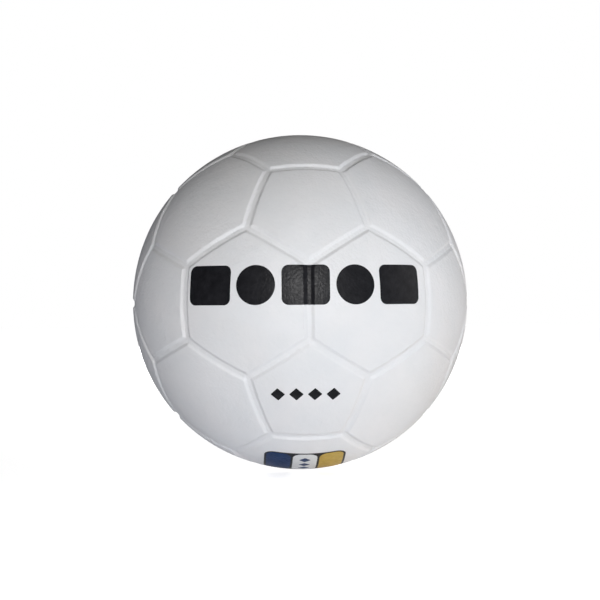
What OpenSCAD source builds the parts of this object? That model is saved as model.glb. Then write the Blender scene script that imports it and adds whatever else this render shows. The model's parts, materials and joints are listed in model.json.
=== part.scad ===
/* [Ball] */
// Circumference of the inflated ball over the crowns of its panels
ball_circumference = 590; // [460:5:620]

/* [Cover] */
// Thickness of a cover panel away from its edges
cover_t = 2; // [1.6:0.1:3]
// Depth of the groove where two panels meet
groove_depth = 0.9; // [0.5:0.1:1.3]
// Width of the groove's flat floor
groove_floor_w = 2; // [1:0.2:4]
// Radius that a panel's edge is rolled over to
edge_roll_r = 4; // [2:0.2:6]
// Slope, in degrees, at which the rolled edge runs out into the crown
roll_break = 4; // [2:1:10]

/* [Carcass] */
// Thickness of the rubber carcass under the cover
carcass_t = 0.6; // [0.4:0.1:1.2]
// How far the two cups of the carcass lap over each other
carcass_lap = 5; // [2:0.5:10]
// Thickness of the nylon thread wound round the bladder
winding_t = 0.5; // [0.3:0.1:1.2]

/* [Bladder] */
// Wall of the butyl bladder
bladder_t = 0.7; // [0.5:0.1:1.4]
// Diameter of the patch that backs the bladder round the valve
patch_d = 38; // [30:1:60]
// Thickness of that patch
patch_t = 0.8; // [0.5:0.1:1.5]

/* [Valve plug] */
// Diameter of the hole that an inflating needle enters
needle_hole_d = 2.4; // [2:0.1:3]
// Depth of that hole, below which the plug's lips close it
needle_hole_l = 9; // [6:0.5:12]
// Width of the funnel that guides the needle in
funnel_d = 4; // [3.4:0.1:5]
// Depth of that funnel
funnel_l = 0.8; // [0.4:0.1:1.2]
// Diameter of the plug's shank
plug_d = 5; // [4.4:0.1:6]
// Length of the closed lips below the needle hole
lip_l = 3; // [2:0.5:5]
// Diameter of the plug's head
plug_head_d = 7; // [6.6:0.1:9]
// Thickness of the plug's head
plug_head_t = 1; // [0.8:0.1:1.6]
// How far the retaining bead stands out of the shank
bead_h = 0.4; // [0.2:0.1:0.6]
// Length of the retaining bead
bead_l = 1.6; // [1:0.1:2.5]
// Gap round the plug's shank and head in their pocket
plug_gap = 0.1; // [0.05:0.05:0.2]

/* [Valve housing] */
// Wall of the stem round the plug's head
stem_wall = 1; // [0.8:0.1:2]
// How far the stem's end lies below the cover's surface
stem_sink = 0.5; // [0.2:0.1:1]
// Gap between the stem and the hole in the cover
cover_hole_gap = 0.3; // [0.1:0.1:0.6]
// Bevel round the hole in the cover
cover_hole_bevel = 0.6; // [0.2:0.1:1]
// Diameter of the flange that is bonded under the patch
flange_d = 24; // [18:1:28]
// Thickness of the flange at the stem
flange_t = 1.4; // [1:0.1:2.5]
// Thickness of the flange at its rim
flange_rim_t = 0.5; // [0.3:0.1:0.9]
// Wall of the nose round the plug's shank
nose_wall = 1.3; // [1.1:0.1:2]
// Thickness of the nose's end past the plug
nose_end_t = 1.6; // [1:0.2:3]

/* [Hidden] */
$fn = 96;
fine_facets = 288;
overrun = 1;

cover_colour = [0.9, 0.91, 0.92];
carcass_colour = [0.75, 0.68, 0.55];
winding_colour = [0.88, 0.87, 0.82];
bladder_colour = [0.12, 0.12, 0.13];
housing_colour = [0.16, 0.16, 0.17];
plug_colour = [0.08, 0.08, 0.09];

// The pentagons sit at the corners of an icosahedron
golden = (1 + sqrt(5)) / 2;
signs = [-1, 1];
sites = [for (s = signs, t = signs) each [[0, s * golden, t], [t, 0, s * golden], [s * golden, t, 0]]];
last_site = len(sites) - 1;
unit_edge = min([for (q = [1 : last_site]) norm(sites[q] - sites[0])]);
unit_slack_share = 0.05;
// A seam between two hexagons is the middle third of an edge
corner_share = 1 / 3;

function unit(v) = v / norm(v);
function near(p, q) = abs(norm(sites[p] - sites[q]) - unit_edge) < unit_edge * unit_slack_share;
function corner(p, q) = unit(sites[p] + (sites[q] - sites[p]) * corner_share);
function total(v, i = 0) = i == len(v) ? [0, 0, 0] : v[i] + total(v, i + 1);
function two_digits(i) = i < 10 ? str("0", i) : str(i);

// Each side of a panel is a pair of corners, as directions from the ball's centre
function pentagon_sides(p) = [
    for (q = [0 : last_site], r = [q + 1 : 1 : last_site])
        if (near(p, q) && near(p, r) && near(q, r)) [corner(p, q), corner(p, r)]
];
function hexagon_sides(face) = [
    for (turn = [0 : 2])
        let (p = face[turn], q = face[(turn + 1) % 3], r = face[(turn + 2) % 3])
            each [[corner(p, q), corner(p, r)], [corner(p, q), corner(q, p)]]
];
function middle(sides) = unit(total([for (side = sides) side[0] + side[1]]));

pentagons = [for (p = [0 : last_site]) pentagon_sides(p)];
hexagons = [
    for (p = [0 : last_site], q = [p + 1 : 1 : last_site], r = [q + 1 : 1 : last_site])
        if (near(p, q) && near(q, r) && near(r, p)) hexagon_sides([p, q, r])
];
// The valve comes out through the hexagon on the back of the ball that lies nearest to this direction
valve_side_shares = [1, 2, 0];
valve_nearness = [for (sides = hexagons) middle(sides) * unit(valve_side_shares)];
valve_index = search(max(valve_nearness), valve_nearness)[0];
valve_axis = middle(hexagons[valve_index]);

// Layers, from the surface inwards
ball_r = ball_circumference / (2 * PI);
carcass_r = ball_r - cover_t;
winding_r = carcass_r - carcass_t;
bladder_r = winding_r - winding_t;
air_r = bladder_r - bladder_t;
flange_r = air_r - patch_t;
reach = ball_r + overrun;

// The rolled edge is an arc that starts on the groove's floor and runs out just under the crown
floor_r = ball_r - groove_depth;
foot_turn = asin(groove_floor_w / 2 / floor_r);
roll_hub = sqrt(pow(ball_r, 2) + pow(edge_roll_r, 2) - 2 * ball_r * edge_roll_r * cos(roll_break));
roll_turn = foot_turn + acos((pow(roll_hub, 2) + pow(floor_r, 2) - pow(edge_roll_r, 2)) / (2 * roll_hub * floor_r));
roll_centre = [roll_hub * cos(roll_turn), -roll_hub * sin(roll_turn)];
cutter_sweep = 60;
blank_margin = 3;
crown_root = 0.2;

// Heights along the valve's axis, and radii round it
stem_top = ball_r - stem_sink;
head_floor = stem_top - plug_head_t;
needle_hole_floor = stem_top - needle_hole_l;
plug_floor = needle_hole_floor - lip_l;
bead_height = (head_floor + plug_floor) / 2;
nose_top = flange_r - flange_t;
nose_floor = plug_floor - plug_gap - nose_end_t;
stem_r = plug_head_d / 2 + plug_gap + stem_wall;
nose_r = plug_d / 2 + plug_gap + nose_wall;
cover_hole_r = stem_r + cover_hole_gap;
flange_rim = sqrt(pow(flange_r, 2) - pow(flange_d / 2, 2)) - flange_rim_t;

// Turns a child so that its +Z points up and its +X leans ahead
module aim(up, ahead) {
    side = unit(cross(up, ahead));
    front = cross(side, up);
    multmatrix([
        [front[0], side[0], up[0], 0],
        [front[1], side[1], up[1], 0],
        [front[2], side[2], up[2], 0],
        [0, 0, 0, 1]
    ]) children();
}

// At a seam, +Z points out of the panel, square to the seam's plane, and +X at the seam's middle
module at_seam(side, centre) {
    across = unit(cross(side[0], side[1]));
    aim(across * centre > 0 ? -across : across, side[0] + side[1]) children();
}

module at_valve() {
    aim(valve_axis, [0, 0, 1]) children();
}

module layer_section(outer_r, inner_r) {
    difference() {
        circle(r = outer_r);
        circle(r = inner_r);
    }
}

// A dome of the cover, cut down to the panel by the planes of its seams
module panel_blank(sides, outer_r, inner_r) {
    centre = middle(sides);
    dome_angle = acos(centre * sides[0][0]) + blank_margin;
    difference() {
        aim(centre, sides[0][0] + sides[0][1]) rotate_extrude() intersection() {
            layer_section(outer_r, inner_r);
            polygon([[0, 0], [0, reach], [reach * tan(dome_angle), reach]]);
        }
        for (side = sides)
            at_seam(side, centre) translate([0, -reach, 0]) cube([reach, 2 * reach, reach]);
    }
}

// Takes the sharp edge off one side, and runs a little past the seam's plane
module roll_cutter() {
    rotate([0, 0, -cutter_sweep / 2]) rotate_extrude(angle = cutter_sweep) difference() {
        polygon([
            [roll_centre[0], overrun],
            roll_centre,
            [reach, roll_centre[1] - overrun * sin(roll_break)],
            [reach, overrun]
        ]);
        translate(roll_centre) circle(r = edge_roll_r);
    }
}

// The crown's edges are rolled one side after another
module rolled_crown(sides, count) {
    if (count == 0) {
        panel_blank(sides, ball_r, floor_r - crown_root);
    } else {
        difference() {
            rolled_crown(sides, count - 1);
            at_seam(sides[count - 1], middle(sides)) roll_cutter();
        }
    }
}

// The crown stands on a thinner layer that carries the groove's floor out to the seam
module panel(sides) {
    union() {
        panel_blank(sides, floor_r, carcass_r);
        rolled_crown(sides, len(sides));
    }
}

module pentagon_panel(i) {
    color(cover_colour) panel(pentagons[i - 1]);
}

module hexagon_panel(i) {
    color(cover_colour) difference() {
        panel(hexagons[i - 1]);
        if (i == valve_index + 1) at_valve() cover_hole();
    }
}

module cover_hole() {
    mouth = ball_r - cover_hole_bevel;
    translate([0, 0, carcass_r - overrun]) cylinder(r = cover_hole_r, h = cover_t + 2 * overrun);
    translate([0, 0, mouth]) cylinder(r1 = cover_hole_r, r2 = cover_hole_r + reach - mouth, h = reach - mouth);
}

// The carcass's lap is half as thick as the carcass, and the valve's cup lies outside
module carcass_valve_cup() {
    color(carcass_colour) at_valve() rotate_extrude() difference() {
        union() {
            intersection() {
                layer_section(carcass_r, winding_r);
                square([reach, reach]);
            }
            intersection() {
                layer_section(carcass_r, (carcass_r + winding_r) / 2);
                translate([0, -carcass_lap]) square([reach, carcass_lap]);
            }
        }
        square([stem_r, reach]);
    }
}

module carcass_plain_cup() {
    color(carcass_colour) at_valve() rotate_extrude() union() {
        intersection() {
            layer_section(carcass_r, winding_r);
            translate([0, -reach]) square([reach, reach - carcass_lap]);
        }
        intersection() {
            layer_section((carcass_r + winding_r) / 2, winding_r);
            translate([0, -carcass_lap]) square([reach, carcass_lap]);
        }
    }
}

// A whole ball of one layer, open only where the stem passes
module pierced_ball(outer_r, inner_r) {
    at_valve() rotate_extrude() difference() {
        intersection() {
            layer_section(outer_r, inner_r);
            translate([0, -reach]) square([reach, 2 * reach]);
        }
        square([stem_r, reach]);
    }
}

module nylon_winding() {
    color(winding_colour) pierced_ball(winding_r, bladder_r);
}

module bladder() {
    color(bladder_colour) pierced_ball(bladder_r, air_r);
}

module valve_patch() {
    color(bladder_colour) at_valve() rotate_extrude() intersection() {
        layer_section(air_r, flange_r);
        translate([stem_r, 0]) square([patch_d / 2 - stem_r, reach]);
    }
}

// Half section of the plug, or of its pocket when it is grown by the gap and run out of the stem
module plug_section(gap, spare) {
    shank_r = plug_d / 2 + gap;
    polygon([
        [0, stem_top + spare],
        [plug_head_d / 2 + gap, stem_top + spare],
        [plug_head_d / 2 + gap, head_floor],
        [shank_r, head_floor],
        [shank_r, bead_height + bead_l / 2],
        [shank_r + bead_h, bead_height + bead_l / 4],
        [shank_r + bead_h, bead_height - bead_l / 4],
        [shank_r, bead_height - bead_l / 2],
        [shank_r, plug_floor - gap],
        [0, plug_floor - gap]
    ]);
}

// The flange thins towards its rim, and its outer face fits the patch
module flange() {
    rotate_extrude() intersection() {
        circle(r = flange_r, $fn = fine_facets);
        polygon([[0, nose_top], [stem_r, nose_top], [flange_d / 2, flange_rim], [flange_d / 2, reach], [0, reach]]);
    }
}

module stem_and_nose() {
    rotate_extrude() polygon([
        [0, stem_top],
        [stem_r, stem_top],
        [stem_r, nose_top],
        [nose_r, nose_floor + nose_end_t / 2],
        [nose_r - nose_end_t / 2, nose_floor],
        [0, nose_floor]
    ]);
}

module valve_housing() {
    color(housing_colour) at_valve() difference() {
        union() {
            flange();
            stem_and_nose();
        }
        rotate_extrude() plug_section(plug_gap, overrun);
        translate([0, 0, nose_floor - overrun]) cylinder(d = needle_hole_d, h = nose_end_t + 2 * overrun);
    }
}

module valve_plug() {
    funnel_floor = stem_top - funnel_l;
    color(plug_colour) at_valve() difference() {
        rotate_extrude() plug_section(0, 0);
        translate([0, 0, needle_hole_floor]) cylinder(d = needle_hole_d, h = needle_hole_l + overrun);
        translate([0, 0, funnel_floor]) cylinder(d1 = needle_hole_d, d2 = funnel_d, h = funnel_l);
        translate([0, 0, stem_top]) cylinder(d = funnel_d, h = overrun);
    }
}

for (i = [1 : len(pentagons)])
    pentagon_panel(i);
for (i = [1 : len(hexagons)])
    hexagon_panel(i);
carcass_valve_cup();
carcass_plain_cup();
nylon_winding();
bladder();
valve_patch();
valve_housing();
valve_plug();
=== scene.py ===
import json
import math

import bpy
from mathutils import Matrix, Vector, noise

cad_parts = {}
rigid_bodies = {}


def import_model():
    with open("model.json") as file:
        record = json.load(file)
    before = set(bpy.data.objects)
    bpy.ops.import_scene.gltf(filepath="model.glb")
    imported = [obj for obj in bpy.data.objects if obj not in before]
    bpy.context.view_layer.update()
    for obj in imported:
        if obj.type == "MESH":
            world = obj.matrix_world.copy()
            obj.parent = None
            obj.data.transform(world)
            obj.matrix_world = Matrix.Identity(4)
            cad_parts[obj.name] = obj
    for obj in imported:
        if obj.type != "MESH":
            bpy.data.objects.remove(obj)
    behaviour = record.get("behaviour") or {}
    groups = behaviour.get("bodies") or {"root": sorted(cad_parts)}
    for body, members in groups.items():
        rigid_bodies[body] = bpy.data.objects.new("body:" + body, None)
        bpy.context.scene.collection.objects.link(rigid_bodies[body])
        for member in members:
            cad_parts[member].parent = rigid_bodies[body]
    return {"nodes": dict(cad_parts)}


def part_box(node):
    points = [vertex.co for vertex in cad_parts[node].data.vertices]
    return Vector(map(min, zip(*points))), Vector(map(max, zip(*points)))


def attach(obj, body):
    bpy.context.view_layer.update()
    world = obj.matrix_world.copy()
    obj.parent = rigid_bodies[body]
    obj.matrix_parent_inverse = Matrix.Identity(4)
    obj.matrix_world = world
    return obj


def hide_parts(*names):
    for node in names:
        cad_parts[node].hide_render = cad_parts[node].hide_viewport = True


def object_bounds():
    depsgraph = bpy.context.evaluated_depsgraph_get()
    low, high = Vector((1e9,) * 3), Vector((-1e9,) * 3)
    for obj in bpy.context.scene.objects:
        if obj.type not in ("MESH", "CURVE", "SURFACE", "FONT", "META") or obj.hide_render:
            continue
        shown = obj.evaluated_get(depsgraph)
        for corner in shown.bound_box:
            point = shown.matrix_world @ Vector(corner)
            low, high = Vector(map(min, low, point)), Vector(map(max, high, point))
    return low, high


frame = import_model()
cad_low, cad_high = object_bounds()

MM = 0.001
EQUATOR = math.pi / 2
UPRIGHT = Vector((0, 0, 1))


# Radii of the layers, read off the solids

def reach_of(node):
    """How near and how far a node's points lie from the ball's centre."""
    distances = [v.co.length for v in frame["nodes"][node].data.vertices]
    return min(distances), max(distances)


CARCASS_R, BALL_R = reach_of("hexagon_panel_01")
BLADDER_R, WINDING_R = reach_of("nylon_winding")
AIR_R = reach_of("bladder")[0]
PLUG_LOW, PLUG_HIGH = (Vector(place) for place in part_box("valve_plug"))


# How a piece is handled

# Points closer than this are merged
WELD = 0.001 * MM
# Edges that turn by more degrees than this stay crisp under the shading
PANEL_CRISP = 50
TURNED_CRISP = 40
THREAD_CRISP = 80


def deselect_all():
    bpy.ops.object.select_all(action="DESELECT")


def work_on(piece):
    deselect_all()
    piece.select_set(True)
    bpy.context.view_layer.objects.active = piece


def edit(piece):
    work_on(piece)
    bpy.ops.object.mode_set(mode="EDIT")


def edit_all(piece):
    edit(piece)
    bpy.ops.mesh.select_all(action="SELECT")


def leave_edit():
    bpy.ops.object.mode_set(mode="OBJECT")


def face_outwards(piece):
    edit_all(piece)
    bpy.ops.mesh.normals_make_consistent(inside=False)
    leave_edit()


def named(name):
    """Names the piece that was just added."""
    piece = bpy.context.object
    piece.name = name
    piece.data.name = name
    return piece


def settle(piece):
    """Moves a piece's place into its mesh."""
    work_on(piece)
    bpy.ops.object.transform_apply(location=True, rotation=True, scale=True)
    return piece


def apply_modifiers(piece):
    work_on(piece)
    for modifier in list(piece.modifiers):
        bpy.ops.object.modifier_apply(modifier=modifier.name)


def smooth(piece, crisp):
    work_on(piece)
    bpy.ops.object.shade_smooth_by_angle(angle=math.radians(crisp))


def put_in_scene(made):
    bpy.context.scene.collection.objects.link(made)
    return made


def copy_of(piece, name):
    made = piece.copy()
    made.data = piece.data.copy()
    made.name = name
    made.data.name = name
    return put_in_scene(made)


def aim(up, ahead):
    """Turns +Z to point up and +X to lean ahead."""
    up = up.normalized()
    side = up.cross(ahead).normalized()
    front = side.cross(up)
    return Matrix((
        (front.x, side.x, up.x, 0),
        (front.y, side.y, up.y, 0),
        (front.z, side.z, up.z, 0),
        (0, 0, 0, 1),
    ))


def direction_at(azimuth, elevation):
    """A direction from the ball's centre, in degrees. Azimuth 0 is the front and 90 is +X."""
    a, e = math.radians(azimuth), math.radians(elevation)
    return Vector((math.sin(a) * math.cos(e), -math.cos(a) * math.cos(e), math.sin(e)))


# The pattern of panels: the pentagons sit at the corners of an icosahedron

GOLDEN = (1 + math.sqrt(5)) / 2
SITE_PITCH = 2
PITCH_SLACK = 0.1
SITES = []
for long in (-GOLDEN, GOLDEN):
    for short in (-1, 1):
        SITES += [Vector((0, long, short)), Vector((short, 0, long)), Vector((long, short, 0))]
SITE_COUNT = len(SITES)


def near(p, q):
    return abs((SITES[p] - SITES[q]).length - SITE_PITCH) < PITCH_SLACK


def corner(p, q):
    """The corner of three panels, a third of the way from one site to the next."""
    return (SITES[p] + (SITES[q] - SITES[p]) / 3).normalized()


# Each panel is a centre and a corner, as directions from the ball's centre
PENTAGONS = []
for p in range(SITE_COUNT):
    q = next(q for q in range(SITE_COUNT) if near(p, q))
    PENTAGONS.append((SITES[p].normalized(), corner(p, q)))
HEXAGONS = []
for p in range(SITE_COUNT):
    for q in range(p + 1, SITE_COUNT):
        for r in range(q + 1, SITE_COUNT):
            if near(p, q) and near(q, r) and near(r, p):
                middle = (SITES[p] + SITES[q] + SITES[r]).normalized()
                HEXAGONS.append((middle, corner(p, q)))
PENTAGON_ANGLE = PENTAGONS[0][0].angle(PENTAGONS[0][1])
HEXAGON_ANGLE = HEXAGONS[0][0].angle(HEXAGONS[0][1])
PLUG_MIDDLE = (PLUG_LOW + PLUG_HIGH).normalized()
VALVE_PANEL = max(range(len(HEXAGONS)), key=lambda k: HEXAGONS[k][0].dot(PLUG_MIDDLE)) + 1
VALVE_AXIS = HEXAGONS[VALVE_PANEL - 1][0]


def seam_planes(sides, corner_angle):
    """Unit vectors square to the planes of a panel's seams, which point into the panel. It is
    centred on +Z, with a corner over +X."""
    corners = []
    for k in range(sides):
        turn = math.tau * k / sides
        corners.append(Vector((
            math.sin(corner_angle) * math.cos(turn),
            math.sin(corner_angle) * math.sin(turn),
            math.cos(corner_angle),
        )))
    return [corners[k].cross(corners[(k + 1) % sides]).normalized() for k in range(sides)]


PENTAGON_PLANES = seam_planes(5, PENTAGON_ANGLE)
HEXAGON_PLANES = seam_planes(6, HEXAGON_ANGLE)


# The cover's surface

GROOVE_DEPTH = 0.9 * MM
# From the seam to where the groove's wall starts, and from there to where the crown starts
FLOOR_HALF_W = 0.8 * MM
WALL_W = 2.15 * MM
# The higher this is, the less a groove deepens where it meets the next one
CORNER_POWER = 6
# The crowns stay this far inside the solids, which leaves room for the prints and the grain
CROWN_SINK = 0.12 * MM
# Waviness of the moulded rubber: heights in millimetres, and waves to a millimetre
RIPPLE_H, RIPPLE_WAVES = 0.012, 0.42
SWELL_H, SWELL_WAVES = 0.045, 0.06
SWELL_START = Vector((7, 3, 5))


def edge_drop(angle):
    """How far the cover has rolled down at an angle from one seam's plane."""
    away = (angle * BALL_R - FLOOR_HALF_W) / WALL_W
    if away >= 1:
        return 0.0
    if away <= 0:
        return GROOVE_DEPTH
    return GROOVE_DEPTH * (1 - away * away * (3 - 2 * away))


def unevenness(direction):
    """The faint waviness of moulded rubber, in metres."""
    place = direction * (BALL_R / MM)
    ripple = noise.noise(place * RIPPLE_WAVES)
    swell = noise.noise(place * SWELL_WAVES + SWELL_START)
    return (RIPPLE_H * ripple + SWELL_H * swell) * MM


def cover_radius(direction, planes):
    """The cover's radius in a direction, as seen from a panel that is centred on +Z."""
    total = 0.0
    for plane in planes:
        sine = max(0.0, min(1.0, direction.dot(plane)))
        total += edge_drop(math.asin(sine)) ** CORNER_POWER
    return BALL_R - CROWN_SINK - total ** (1 / CORNER_POWER) + unevenness(direction)


# Cover panels

# Cuts along each side of the triangles that a panel starts from
CUTS = 63
# Above 1, rows of points lie closer together towards the rim, where the edge rolls over
RIM_CROWDING = 1.35
# Faces that each triangle of the fan keeps on the side that lies on the carcass
INNER_FACES = 160


def crowd_to_rim(panel, sides, corner_angle):
    half_width = math.tan(corner_angle) * math.cos(math.pi / sides)
    for v in panel.data.vertices:
        out = 0.0
        for k in range(sides):
            turn = math.tau * (k + 0.5) / sides
            out = max(out, (v.co.x * math.cos(turn) + v.co.y * math.sin(turn)) / half_width)
        if out > 0:
            drawn = (1 - (1 - min(out, 1)) ** RIM_CROWDING) / out
            v.co = (v.co.x * drawn, v.co.y * drawn, 1)


def model_panel(name, sides, corner_angle, planes):
    """A fan of triangles is cut finely, drawn out to its rim, thickened and wrapped on the ball."""
    deselect_all()
    bpy.ops.mesh.primitive_circle_add(
        vertices=sides, radius=math.tan(corner_angle), fill_type="TRIFAN", location=(0, 0, 1))
    panel = settle(named(name))
    tip = max(panel.data.vertices, key=lambda v: v.co.x).co
    panel.data.transform(Matrix.Rotation(-math.atan2(tip.y, tip.x), 4, "Z"))
    edit_all(panel)
    bpy.ops.mesh.subdivide(number_cuts=CUTS)
    bpy.ops.mesh.normals_make_consistent(inside=False)
    leave_edit()
    crowd_to_rim(panel, sides, corner_angle)

    # The extruded side stays selected and becomes the crown
    edit_all(panel)
    bpy.ops.mesh.extrude_region_move()
    leave_edit()
    for v in panel.data.vertices:
        direction = v.co.normalized()
        v.co = direction * (cover_radius(direction, planes) if v.select else CARCASS_R)

    # The inner side needs few faces, and goes back to its sphere after it is thinned
    edit(panel)
    bpy.ops.mesh.select_all(action="INVERT")
    bpy.ops.mesh.select_less()
    bpy.ops.mesh.decimate(ratio=INNER_FACES / (CUTS + 1) ** 2)
    leave_edit()
    for v in panel.data.vertices:
        if v.select:
            v.co = v.co.normalized() * CARCASS_R
    face_outwards(panel)
    smooth(panel, PANEL_CRISP)
    return panel


pentagon = model_panel("pentagon_master", 5, PENTAGON_ANGLE, PENTAGON_PLANES)
hexagon = model_panel("hexagon_master", 6, HEXAGON_ANGLE, HEXAGON_PLANES)

panels = {}
for kind, master, places in (("pentagon", pentagon, PENTAGONS), ("hexagon", hexagon, HEXAGONS)):
    for number, (centre, ahead) in enumerate(places, 1):
        name = "cover_%s_%02d" % (kind, number)
        panels[name] = copy_of(master, name)
        panels[name].data.transform(aim(centre, ahead))
        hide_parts("%s_panel_%02d" % (kind, number))
    bpy.data.objects.remove(master)


# The valve's hole in the cover, with a bevelled mouth

def clear_radius(node):
    """The radius of a solid's hole on the valve's axis."""
    on_valve_side = [v.co for v in frame["nodes"][node].data.vertices if v.co.dot(VALVE_AXIS) > 0]
    return min((place - VALVE_AXIS * place.dot(VALVE_AXIS)).length for place in on_valve_side)


HOLE_R = clear_radius("hexagon_panel_%02d" % VALVE_PANEL)
HOLE_BEVEL = 0.6 * MM
HOLE_SIDES = 96
CUTTER_L = 8 * MM


def cut_valve_hole(panel):
    deselect_all()
    bpy.ops.mesh.primitive_cylinder_add(
        vertices=HOLE_SIDES, radius=HOLE_R, depth=CUTTER_L, end_fill_type="NGON")
    cutter = named("hole_cutter")
    edit(cutter)
    bpy.ops.mesh.select_mode(type="FACE")
    bpy.ops.mesh.select_all(action="DESELECT")
    leave_edit()
    for face in cutter.data.polygons:
        face.select = face.normal.z > 0.5

    # The top face goes down to the foot of the bevel, which is then drawn out past the surface
    edit(cutter)
    bpy.ops.transform.translate(value=(0, 0, -CUTTER_L / 2 - HOLE_BEVEL))
    bpy.ops.mesh.extrude_region_move(TRANSFORM_OT_translate={"value": (0, 0, 2 * HOLE_BEVEL)})
    wide = (HOLE_R + 2 * HOLE_BEVEL) / HOLE_R
    bpy.ops.transform.resize(value=(wide, wide, 1))
    leave_edit()
    cutter.data.transform(aim(VALVE_AXIS, UPRIGHT) @ Matrix.Translation((0, 0, BALL_R)))

    work_on(panel)
    cut = panel.modifiers.new("hole", "BOOLEAN")
    cut.operation = "DIFFERENCE"
    cut.solver = "EXACT"
    cut.object = cutter
    apply_modifiers(panel)
    bpy.data.objects.remove(cutter)
    smooth(panel, PANEL_CRISP)


cut_valve_hole(panels["cover_hexagon_%02d" % VALVE_PANEL])


# Prints: plain shapes of ink that follow the cover, over its grooves too

# Each layer of ink stands this much higher, and all of them start a little under the surface
INK_LIFT = 0.06 * MM
INK_SINK = 0.02 * MM
# Ink follows the cover in steps of about this size
INK_STEP = 0.5 * MM
INK_WELD = 0.002 * MM
LEAST_STEPS = 6
# Cosine of the angle past which a panel no longer reaches from its centre
PANEL_REACH = 0.85

PANEL_FRAMES = [(centre, aim(centre, ahead), PENTAGON_PLANES) for centre, ahead in PENTAGONS]
PANEL_FRAMES += [(centre, aim(centre, ahead), HEXAGON_PLANES) for centre, ahead in HEXAGONS]


def cover_at(direction):
    """The cover's radius in a direction, by the panel that lies there."""
    best, radius = -math.inf, BALL_R
    for centre, turned, planes in PANEL_FRAMES:
        if direction.dot(centre) < PANEL_REACH:
            continue
        seen = turned.transposed().to_3x3() @ direction
        inside = min(seen.dot(plane) for plane in planes)
        if inside > best:
            best, radius = inside, cover_radius(seen, planes)
    return radius


def outline_columns(half_w, half_h, round_r):
    """Places across a shape with rounded ends, each with the shape's half height there."""
    straight = half_w - round_r
    arc_steps = max(LEAST_STEPS, math.ceil(round_r * math.pi / 2 / INK_STEP))
    straight_steps = max(1, math.ceil(2 * straight / INK_STEP)) if straight > 0 else 0
    left = []
    for k in range(arc_steps + 1):
        turn = math.pi / 2 * k / arc_steps
        left.append((
            -straight - round_r * math.cos(turn),
            half_h - round_r + round_r * math.sin(turn),
        ))
    middle = [
        (-straight + 2 * straight * k / straight_steps, half_h) for k in range(1, straight_steps)
    ]
    right = [(-across, high) for across, high in reversed(left)]
    if straight_steps == 0:
        right = right[1:]
    return left + middle + right


def print_shape(name, azimuth, elevation, half_w, half_h, round_r, at=(0, 0), turn=0, layer=0):
    """A rounded shape of ink round a place on the ball, sized along the surface. It may lie
    off that place, be turned by some degrees, and lie on one or more layers of ink."""
    columns = outline_columns(half_w, half_h, round_r)
    rows = max(LEAST_STEPS, math.ceil(2 * half_h / INK_STEP))
    deselect_all()
    bpy.ops.mesh.primitive_grid_add(
        x_subdivisions=len(columns) - 1, y_subdivisions=rows, size=2)
    printed = named(name)
    cos_turn, sin_turn = math.cos(math.radians(turn)), math.sin(math.radians(turn))
    for v in printed.data.vertices:
        across, high = columns[round((v.co.x + 1) / 2 * (len(columns) - 1))]
        up = v.co.y * high
        v.co = (
            at[0] + across * cos_turn - up * sin_turn,
            at[1] + across * sin_turn + up * cos_turn,
            0,
        )
    edit_all(printed)
    bpy.ops.mesh.remove_doubles(threshold=INK_WELD)
    bpy.ops.mesh.extrude_region_move()
    leave_edit()

    # The flat shape is wrapped on the cover: the extruded side outside, the first one just under
    centre = direction_at(azimuth, elevation)
    facing = math.radians(azimuth)
    right = Vector((math.cos(facing), math.sin(facing), 0))
    above = right.cross(centre) * -1
    for v in printed.data.vertices:
        far = math.hypot(v.co.x, v.co.y)
        heading = (right * v.co.x + above * v.co.y) / far if far > 0 else right
        direction = centre * math.cos(far / BALL_R) + heading * math.sin(far / BALL_R)
        lift = INK_LIFT * (1 + layer) if v.select else -INK_SINK
        v.co = direction * (cover_at(direction) + lift)
    face_outwards(printed)
    smooth(printed, PANEL_CRISP)
    return printed


def from_middle(number, count, pitch):
    """How far one of a row of marks, counted from 1, lies from the middle of the row."""
    return (number - (count + 1) / 2) * pitch


# A row of blocks and discs across the middle of the front
ROW_ELEVATION = 5.3
ROW_AZIMUTH = -1.0
ROW_COUNT = 5
ROW_HALF_H = 10 * MM
BLOCK_HALF_W = 12 * MM
BLOCK_ROUND = 3.5 * MM
ROW_GAP = 3.2 * MM
ROW_PITCH = BLOCK_HALF_W + ROW_GAP + ROW_HALF_H


def azimuth_along(elevation, along):
    """The azimuth of a mark that lies some metres along a row at an elevation."""
    return ROW_AZIMUTH + math.degrees(along / BALL_R / math.cos(math.radians(elevation)))


black_prints = []
for number in range(1, ROW_COUNT + 1):
    azimuth = azimuth_along(ROW_ELEVATION, from_middle(number, ROW_COUNT, ROW_PITCH))
    if number % 2:
        shape, half_w, round_r = "block", BLOCK_HALF_W, BLOCK_ROUND
    else:
        shape, half_w, round_r = "disc", ROW_HALF_H, ROW_HALF_H
    black_prints.append(print_shape(
        "print_%s_%d" % (shape, number), azimuth, ROW_ELEVATION, half_w, ROW_HALF_H, round_r))

# Small diamonds on the lower pentagon
DIAMOND_ELEVATION = -29.5
DIAMOND_COUNT = 4
DIAMOND_HALF = 2.6 * MM
DIAMOND_ROUND = 0.4 * MM
DIAMOND_PITCH = 9.4 * MM
DIAMOND_TURN = 45
for number in range(1, DIAMOND_COUNT + 1):
    azimuth = azimuth_along(
        DIAMOND_ELEVATION, from_middle(number, DIAMOND_COUNT, DIAMOND_PITCH))
    black_prints.append(print_shape(
        "print_diamond_%d" % number, azimuth, DIAMOND_ELEVATION,
        DIAMOND_HALF, DIAMOND_HALF, DIAMOND_ROUND, turn=DIAMOND_TURN))

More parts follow.
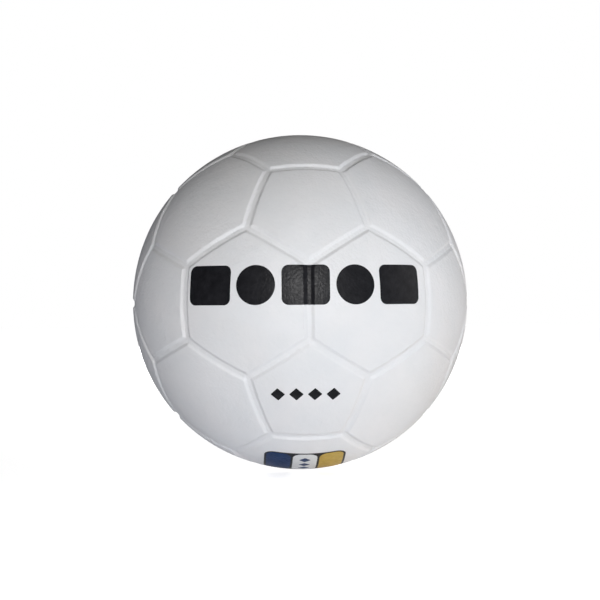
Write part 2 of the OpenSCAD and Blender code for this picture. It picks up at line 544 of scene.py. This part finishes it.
# A framed badge of three upright blocks under the front, with diamonds on the middle one
BADGE_AZIMUTH = 0
BADGE_ELEVATION = -69.1
BADGE_HALF_W = 22 * MM
BADGE_HALF_H = 17.5 * MM
BADGE_ROUND = 6 * MM
BADGE_LINE = 1.2 * MM
BADGE_COLOURS = ("navy", "white", "gold")
BADGE_BLOCKS = len(BADGE_COLOURS)
BADGE_BLOCK_HALF_W = (2 * BADGE_HALF_W - (BADGE_BLOCKS + 1) * BADGE_LINE) / (2 * BADGE_BLOCKS)
BADGE_BLOCK_HALF_H = BADGE_HALF_H - BADGE_LINE
BADGE_BLOCK_ROUND = BADGE_BLOCK_HALF_W * 0.7
BADGE_BLOCK_PITCH = 2 * BADGE_BLOCK_HALF_W + BADGE_LINE
BADGE_MARK_COUNT = 3
BADGE_MARK_HALF = 2.2 * MM
BADGE_MARK_PITCH = 8.5 * MM
black_prints.append(print_shape(
    "badge_frame", BADGE_AZIMUTH, BADGE_ELEVATION, BADGE_HALF_W, BADGE_HALF_H, BADGE_ROUND))
badge_blocks = {}
for number, colour in enumerate(BADGE_COLOURS, 1):
    aside = from_middle(number, BADGE_BLOCKS, BADGE_BLOCK_PITCH)
    badge_blocks[colour] = print_shape(
        "badge_block_" + colour, BADGE_AZIMUTH, BADGE_ELEVATION,
        BADGE_BLOCK_HALF_W, BADGE_BLOCK_HALF_H, BADGE_BLOCK_ROUND, at=(aside, 0), layer=1)
badge_marks = []
for number in range(1, BADGE_MARK_COUNT + 1):
    up = from_middle(number, BADGE_MARK_COUNT, BADGE_MARK_PITCH)
    badge_marks.append(print_shape(
        "badge_mark_%d" % number, BADGE_AZIMUTH, BADGE_ELEVATION,
        BADGE_MARK_HALF, BADGE_MARK_HALF, DIAMOND_ROUND,
        at=(0, up), turn=DIAMOND_TURN, layer=2))


# Inner layers, turned on the valve's axis

STEM_R = clear_radius("nylon_winding")
CARCASS_MID_R = (CARCASS_R + WINDING_R) / 2
CARCASS_LAP = 5 * MM
LAP_END = EQUATOR + CARCASS_LAP / BALL_R
# The mould's parting leaves a small ridge on the inside of the bladder
RIDGE_H = 0.25 * MM
RIDGE_HALF_W = 0.6 * MM
RIDGE_HALF_ANGLE = RIDGE_HALF_W / AIR_R
LAYER_STEPS = 128
CUP_STEPS = 68
LAP_STEPS = 4
BLADDER_STEPS = 45
RIDGE_STEPS = 6


def arc(radius, start, end, steps):
    """Points of a section, from one angle off the axis to another."""
    angles = [start + (end - start) * k / steps for k in range(steps + 1)]
    return [(radius * math.sin(angle), radius * math.cos(angle)) for angle in angles]


def ridge():
    """The part of the bladder's section that stands into the air space at the equator."""
    points = []
    for k in range(RIDGE_STEPS + 1):
        across = 1 - 2 * k / RIDGE_STEPS
        angle = EQUATOR + across * RIDGE_HALF_W / AIR_R
        here = AIR_R - RIDGE_H * (1 - across * across)
        points.append((here * math.sin(angle), here * math.cos(angle)))
    return points


def stem_angle(radius):
    """How far off the axis a layer of some radius ends at the valve's stem."""
    return math.asin(STEM_R / radius)


def turned_layer(name, section):
    """A closed section of (radius, height) points spun round the valve's axis."""
    deselect_all()
    bpy.ops.mesh.primitive_circle_add(vertices=len(section), radius=1, fill_type="NOTHING")
    layer = named(name)
    for v, (radius, height) in zip(layer.data.vertices, section):
        v.co = (max(radius, 0), 0, height)

    # An edge that lies on the axis would spin to nothing
    for v in layer.data.vertices:
        v.select = v.co.x < WELD
    for e in layer.data.edges:
        e.select = all(layer.data.vertices[k].select for k in e.vertices)
    edit(layer)
    bpy.ops.mesh.select_mode(type="EDGE")
    bpy.ops.mesh.delete(type="EDGE")
    bpy.ops.mesh.select_all(action="SELECT")
    bpy.ops.mesh.spin(steps=LAYER_STEPS, angle=math.tau, center=(0, 0, 0), axis=(0, 0, 1))
    bpy.ops.mesh.select_all(action="SELECT")
    bpy.ops.mesh.remove_doubles(threshold=WELD)
    bpy.ops.mesh.normals_make_consistent(inside=False)
    bpy.ops.mesh.select_mode(type="VERT")
    leave_edit()
    layer.data.transform(aim(VALVE_AXIS, UPRIGHT))
    smooth(layer, TURNED_CRISP)
    return layer


valve_cup = turned_layer(
    "carcass_cup_valve",
    arc(CARCASS_R, stem_angle(CARCASS_R), LAP_END, CUP_STEPS + LAP_STEPS)
    + arc(CARCASS_MID_R, LAP_END, EQUATOR, LAP_STEPS)
    + arc(WINDING_R, EQUATOR, stem_angle(WINDING_R), CUP_STEPS))
plain_cup = turned_layer(
    "carcass_cup_plain",
    arc(CARCASS_R, LAP_END, math.pi, CUP_STEPS)
    + arc(WINDING_R, math.pi, EQUATOR, CUP_STEPS + LAP_STEPS)
    + arc(CARCASS_MID_R, EQUATOR, LAP_END, LAP_STEPS))
bladder = turned_layer(
    "bladder_shell",
    arc(BLADDER_R, stem_angle(BLADDER_R), math.pi, 2 * BLADDER_STEPS)
    + arc(AIR_R, math.pi, EQUATOR + RIDGE_HALF_ANGLE, BLADDER_STEPS)[:-1]
    + ridge()
    + arc(AIR_R, EQUATOR - RIDGE_HALF_ANGLE, stem_angle(AIR_R), BLADDER_STEPS)[1:])
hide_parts("carcass_valve_cup")
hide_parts("carcass_plain_cup")
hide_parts("bladder")


# One thread, wound in great circles whose plane keeps turning, and parted round the stem

THREAD_R = 0.11 * MM
TURNS = 200
POINTS_A_TURN = 72
# Turns of thread in which their plane goes once round the ball
TURNS_A_LAP = 37.3
# The thread keeps this far from the valve's axis
PARTING_R = 5.4 * MM
PARTING_ANGLE = PARTING_R / BLADDER_R
# It climbs from just over the bladder to just under the carcass
LOWEST_THREAD_R = BLADDER_R + 1.8 * THREAD_R
HIGHEST_THREAD_R = WINDING_R - 1.1 * THREAD_R


def parted(direction):
    """Pushes a direction aside, so that the thread runs round the stem."""
    off = direction.angle(VALVE_AXIS)
    pushed = math.hypot(off, PARTING_ANGLE)
    aside = (direction - VALVE_AXIS * direction.dot(VALVE_AXIS)).normalized()
    return VALVE_AXIS * math.cos(pushed) + aside * math.sin(pushed)


def wind_thread():
    data = bpy.data.curves.new("thread", "CURVE")
    data.dimensions = "3D"
    data.bevel_depth = THREAD_R
    data.bevel_resolution = 0
    data.use_fill_caps = True
    count = TURNS * POINTS_A_TURN
    spline = data.splines.new("POLY")
    spline.points.add(count)
    for k in range(count + 1):
        done = k / count
        tilt = math.acos(1 - done)
        lap = math.tau * TURNS * done / TURNS_A_LAP
        along = math.tau * TURNS * done
        flat = Vector((math.cos(along), math.sin(along), 0))
        direction = Matrix.Rotation(lap, 3, "Z") @ Matrix.Rotation(tilt, 3, "X") @ flat
        radius = LOWEST_THREAD_R + (HIGHEST_THREAD_R - LOWEST_THREAD_R) * done
        spline.points[k].co = (*(parted(direction) * radius), 1)
    work_on(put_in_scene(bpy.data.objects.new("wound_thread", data)))
    bpy.ops.object.convert(target="MESH")
    wound = named("wound_thread")
    edit_all(wound)
    bpy.ops.mesh.remove_doubles(threshold=WELD)
    leave_edit()
    smooth(wound, THREAD_CRISP)
    return wound


thread = wind_thread()
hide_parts("nylon_winding")


# The valve's pieces, with the moulded edges rounded

PATCH_EDGE_R = 0.15 * MM
STEM_EDGE_R = 0.15 * MM
PLUG_EDGE_R = 0.12 * MM
ROUNDING_STEPS = 3
# Faces that turn by less than the first become one, and by more than the second get an edge
FLAT_ANGLE = math.radians(0.5)
EDGE_ANGLE = math.radians(28)


def rounded_piece(name, node, edge_r):
    piece = copy_of(frame["nodes"][node], name)
    edit_all(piece)
    bpy.ops.mesh.remove_doubles(threshold=WELD)
    bpy.ops.mesh.dissolve_limited(angle_limit=FLAT_ANGLE)
    bpy.ops.mesh.normals_make_consistent(inside=False)
    leave_edit()
    rounding = piece.modifiers.new("rounding", "BEVEL")
    rounding.width = edge_r
    rounding.segments = ROUNDING_STEPS
    rounding.limit_method = "ANGLE"
    rounding.angle_limit = EDGE_ANGLE
    apply_modifiers(piece)
    smooth(piece, TURNED_CRISP)
    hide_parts(node)
    return piece


patch = rounded_piece("bladder_patch", "valve_patch", PATCH_EDGE_R)
housing = rounded_piece("valve_stem", "valve_housing", STEM_EDGE_R)
plug = rounded_piece("valve_seal", "valve_plug", PLUG_EDGE_R)


# Finishes

# Plain rubber: how much finer its grain is than its mottling, and how far its gloss varies
GRAINS_A_MOTTLE = 12
GLOSS_SPREAD = 0.08


class Finish:
    """A material whose patterns are set out in the piece's own metres."""

    def __init__(self, name):
        self.material = bpy.data.materials.new(name)
        self.material.use_nodes = True
        self.nodes = self.material.node_tree.nodes
        self.links = self.material.node_tree.links
        self.surface = self.nodes["Principled BSDF"]
        self.place = self.nodes.new("ShaderNodeTexCoord")
        self.top_bump = None

    def speckle(self, scale, detail, roughness):
        """A soft irregular pattern, with about so many grains to a metre."""
        made = self.nodes.new("ShaderNodeTexNoise")
        made.inputs["Scale"].default_value = scale
        made.inputs["Detail"].default_value = detail
        made.inputs["Roughness"].default_value = roughness
        self.links.new(self.place.outputs["Object"], made.inputs["Vector"])
        return made.outputs["Fac"]

    def colour(self, pattern, low, high, dark, light):
        """Lets the colour follow a pattern, dark up to its low value and light from its high."""
        made = self.nodes.new("ShaderNodeValToRGB")
        for stop, position, shade in zip(made.color_ramp.elements, (low, high), (dark, light)):
            stop.position = position
            stop.color = (*shade, 1)
        self.links.new(pattern, made.inputs["Fac"])
        self.links.new(made.outputs["Color"], self.surface.inputs["Base Color"])

    def gloss(self, pattern, low, high):
        """Lets the roughness follow a pattern."""
        made = self.nodes.new("ShaderNodeMapRange")
        made.inputs["To Min"].default_value = low
        made.inputs["To Max"].default_value = high
        self.links.new(pattern, made.inputs["Value"])
        self.links.new(made.outputs["Result"], self.surface.inputs["Roughness"])

    def bump(self, pattern, strength, depth):
        """Raises a pattern on top of the bumps that were made before."""
        made = self.nodes.new("ShaderNodeBump")
        made.inputs["Strength"].default_value = strength
        made.inputs["Distance"].default_value = depth
        self.links.new(pattern, made.inputs["Height"])
        if self.top_bump:
            self.links.new(self.top_bump.outputs["Normal"], made.inputs["Normal"])
        self.links.new(made.outputs["Normal"], self.surface.inputs["Normal"])
        self.top_bump = made

    def moulded_skin(self, swell_depth, pebble_depth, glossy, dull):
        """The fine grain that the mould leaves, on the cover and on the ink over it."""
        swell = self.speckle(scale=240.0, detail=2.0, roughness=0.6)
        pebble = self.speckle(scale=800.0, detail=1.0, roughness=0.5)
        dust = self.speckle(scale=3200.0, detail=2.0, roughness=0.6)
        self.bump(swell, strength=1.0, depth=swell_depth)
        self.bump(pebble, strength=1.0, depth=pebble_depth)
        self.bump(dust, strength=0.4, depth=0.02 * MM)
        self.gloss(pebble, glossy, dull)


def white_rubber():
    finish = Finish("white_moulded_rubber")
    mottle = finish.speckle(scale=45.0, detail=3.0, roughness=0.5)
    finish.colour(
        mottle, low=0.35, high=0.65, dark=(0.79, 0.80, 0.815), light=(0.82, 0.82, 0.83))
    finish.moulded_skin(swell_depth=0.3 * MM, pebble_depth=0.13 * MM, glossy=0.52, dull=0.66)
    finish.surface.inputs["Specular IOR Level"].default_value = 0.35
    return finish.material


def ink(name, dark, light):
    finish = Finish(name)
    blotch = finish.speckle(scale=260.0, detail=3.0, roughness=0.6)
    finish.colour(blotch, low=0.3, high=0.7, dark=dark, light=light)
    finish.moulded_skin(swell_depth=0.08 * MM, pebble_depth=0.15 * MM, glossy=0.26, dull=0.5)
    finish.surface.inputs["Specular IOR Level"].default_value = 0.17
    return finish.material


def dusted_rubber(name, dark, light, scale, roughness, depth):
    """Plain rubber, mottled in colour and gloss, with a grain that is much finer."""
    finish = Finish(name)
    mottle = finish.speckle(scale, detail=4.0, roughness=0.55)
    grain = finish.speckle(scale * GRAINS_A_MOTTLE, detail=2.0, roughness=0.6)
    finish.colour(mottle, low=0.3, high=0.7, dark=dark, light=light)
    finish.gloss(mottle, roughness - GLOSS_SPREAD, roughness + GLOSS_SPREAD)
    finish.bump(grain, strength=0.5, depth=depth)
    return finish.material


def twisted_nylon():
    finish = Finish("twisted_nylon")
    strand = finish.speckle(scale=2600.0, detail=2.0, roughness=0.5)
    latex = finish.speckle(scale=70.0, detail=3.0, roughness=0.6)
    finish.colour(latex, low=0.35, high=0.65, dark=(0.6, 0.57, 0.47), light=(0.80, 0.79, 0.73))
    finish.bump(strand, strength=0.6, depth=0.03 * MM)
    finish.surface.inputs["Roughness"].default_value = 0.42
    finish.surface.inputs["Sheen Weight"].default_value = 0.2
    return finish.material


def dress(piece, finish):
    piece.data.materials.clear()
    piece.data.materials.append(finish)
    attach(piece, "root")


cover_rubber = white_rubber()
for panel in panels.values():
    dress(panel, cover_rubber)

black_ink = ink("black_ink", (0.008, 0.008, 0.010), (0.017, 0.017, 0.020))
navy_ink = ink("navy_ink", (0.012, 0.035, 0.11), (0.018, 0.048, 0.14))
white_ink = ink("white_ink", (0.74, 0.75, 0.76), (0.80, 0.81, 0.82))
gold_ink = ink("gold_ink", (0.50, 0.34, 0.075), (0.58, 0.41, 0.10))
for piece in black_prints:
    dress(piece, black_ink)
dress(badge_blocks["navy"], navy_ink)
dress(badge_blocks["white"], white_ink)
dress(badge_blocks["gold"], gold_ink)
for piece in badge_marks:
    dress(piece, navy_ink)

carcass_rubber = dusted_rubber(
    "carcass_rubber", (0.42, 0.31, 0.18), (0.55, 0.43, 0.27),
    scale=80, roughness=0.7, depth=0.04 * MM)
butyl = dusted_rubber(
    "butyl_rubber", (0.012, 0.012, 0.014), (0.025, 0.025, 0.028),
    scale=120, roughness=0.5, depth=0.03 * MM)
stem_rubber = dusted_rubber(
    "stem_rubber", (0.02, 0.02, 0.022), (0.04, 0.04, 0.043),
    scale=300, roughness=0.5, depth=0.02 * MM)
plug_rubber = dusted_rubber(
    "plug_rubber", (0.01, 0.01, 0.011), (0.024, 0.024, 0.026),
    scale=400, roughness=0.4, depth=0.02 * MM)
dress(valve_cup, carcass_rubber)
dress(plain_cup, carcass_rubber)
dress(thread, twisted_nylon())
dress(bladder, butyl)
dress(patch, butyl)
dress(housing, stem_rubber)
dress(plug, plug_rubber)


# Floor, light and camera

FLOOR_R = 4
FLOOR_SIDES = 128
# The floor glows for the camera, and less so near the ball, where its shadow has to show
SHADOW_R, WHITE_R = 0.12, 0.8
SHADOW_GLOW, WHITE_GLOW = 0.72, 1.0
FILL_LIGHT = 0.01


def shadow_floor():
    """A pale floor that reads as white, but for the ball's own shadow."""
    deselect_all()
    bpy.ops.mesh.primitive_circle_add(
        vertices=FLOOR_SIDES, radius=FLOOR_R, fill_type="NGON", location=(0, 0, cad_low.z))
    floor = settle(named("floor"))
    floor.visible_shadow = False
    paint = Finish("floor_paint")
    paint.surface.inputs["Base Color"].default_value = (0.86, 0.86, 0.86, 1)
    paint.surface.inputs["Roughness"].default_value = 0.9
    paint.surface.inputs["Specular IOR Level"].default_value = 0.1
    away = paint.nodes.new("ShaderNodeVectorMath")
    away.operation = "LENGTH"
    lift = paint.nodes.new("ShaderNodeMapRange")
    lift.inputs["From Min"].default_value = SHADOW_R
    lift.inputs["From Max"].default_value = WHITE_R
    lift.inputs["To Min"].default_value = SHADOW_GLOW
    lift.inputs["To Max"].default_value = WHITE_GLOW
    paths = paint.nodes.new("ShaderNodeLightPath")
    strength = paint.nodes.new("ShaderNodeMath")
    strength.operation = "MULTIPLY"
    glow = paint.nodes.new("ShaderNodeEmission")
    both = paint.nodes.new("ShaderNodeAddShader")
    join = paint.links.new
    join(paint.place.outputs["Object"], away.inputs[0])
    join(away.outputs["Value"], lift.inputs["Value"])
    join(lift.outputs["Result"], strength.inputs[0])
    join(paths.outputs["Is Camera Ray"], strength.inputs[1])
    join(strength.outputs[0], glow.inputs["Strength"])
    join(paint.surface.outputs[0], both.inputs[0])
    join(glow.outputs[0], both.inputs[1])
    join(both.outputs[0], paint.nodes["Material Output"].inputs["Surface"])
    floor.data.materials.append(paint.material)


def studio_world():
    """A faint even light, in front of a backdrop that is white for the camera alone."""
    world = bpy.data.worlds.new("studio")
    bpy.context.scene.world = world
    world.use_nodes = True
    nodes, join = world.node_tree.nodes, world.node_tree.links.new
    fill = nodes["Background"]
    fill.inputs["Color"].default_value = (1, 1, 1, 1)
    fill.inputs["Strength"].default_value = FILL_LIGHT
    backdrop = nodes.new("ShaderNodeBackground")
    backdrop.inputs["Color"].default_value = (1, 1, 1, 1)
    backdrop.inputs["Strength"].default_value = 1.0
    paths = nodes.new("ShaderNodeLightPath")
    seen = nodes.new("ShaderNodeMixShader")
    join(paths.outputs["Is Camera Ray"], seen.inputs[0])
    join(fill.outputs[0], seen.inputs[1])
    join(backdrop.outputs[0], seen.inputs[2])
    join(seen.outputs[0], nodes["World Output"].inputs["Surface"])


def lamp(name, azimuth, elevation, power, colour=(1, 1, 1), distance=1.2, size=0.4):
    """A round soft lamp that faces the ball."""
    light = bpy.data.lights.new(name, "AREA")
    light.shape = "DISK"
    light.size = size
    light.energy = power
    light.color = colour
    away = direction_at(azimuth, elevation)
    made = put_in_scene(bpy.data.objects.new(name, light))
    made.location = away * distance
    made.rotation_mode = "QUATERNION"
    made.rotation_quaternion = away.to_track_quat("Z", "Y")
    made.visible_camera = False


shadow_floor()
studio_world()
lamp("front_lamp", azimuth=0, elevation=10, power=8.1, colour=(1.0, 0.99, 0.98))
lamp("low_right_lamp", azimuth=40, elevation=-14, power=3.65, colour=(0.79, 0.88, 1.0))
lamp("right_lamp", azimuth=85, elevation=10, power=3.35, colour=(1.0, 0.96, 0.94), size=0.95)
lamp("left_lamp", azimuth=-75, elevation=-38, power=2.95, colour=(0.83, 0.865, 1.0), size=0.95)
lamp("edge_lamp", azimuth=110, elevation=-38, power=1.8, colour=(1.0, 0.76, 0.5))
lamp("back_lamp", azimuth=180, elevation=4, power=25.0, distance=2.0, size=0.5)

# The camera's angles are in degrees, its lens and sensor in millimetres, its shift in pixels
CAMERA_AZIMUTH = -2.8
CAMERA_ROLL = -0.41
CAMERA_DISTANCE = 7.5 * BALL_R
SENSOR_W = 36
LENS = 74.58
PICTURE_W = 600
SHIFT_UP = 2.13
NEAREST_SEEN = 10 * MM
camera_data = bpy.data.cameras.new("camera")
camera = put_in_scene(bpy.data.objects.new("camera", camera_data))
back = direction_at(CAMERA_AZIMUTH, 0)
roll = Matrix.Rotation(math.radians(CAMERA_ROLL), 4, "Z").to_quaternion()
camera.location = back * CAMERA_DISTANCE
camera.rotation_mode = "QUATERNION"
camera.rotation_quaternion = (-back).to_track_quat("-Z", "Y") @ roll
camera_data.sensor_width = SENSOR_W
camera_data.lens = LENS
camera_data.shift_y = SHIFT_UP / PICTURE_W
camera_data.clip_start = NEAREST_SEEN
bpy.context.scene.camera = camera
bpy.context.scene.view_settings.view_transform = "Standard"
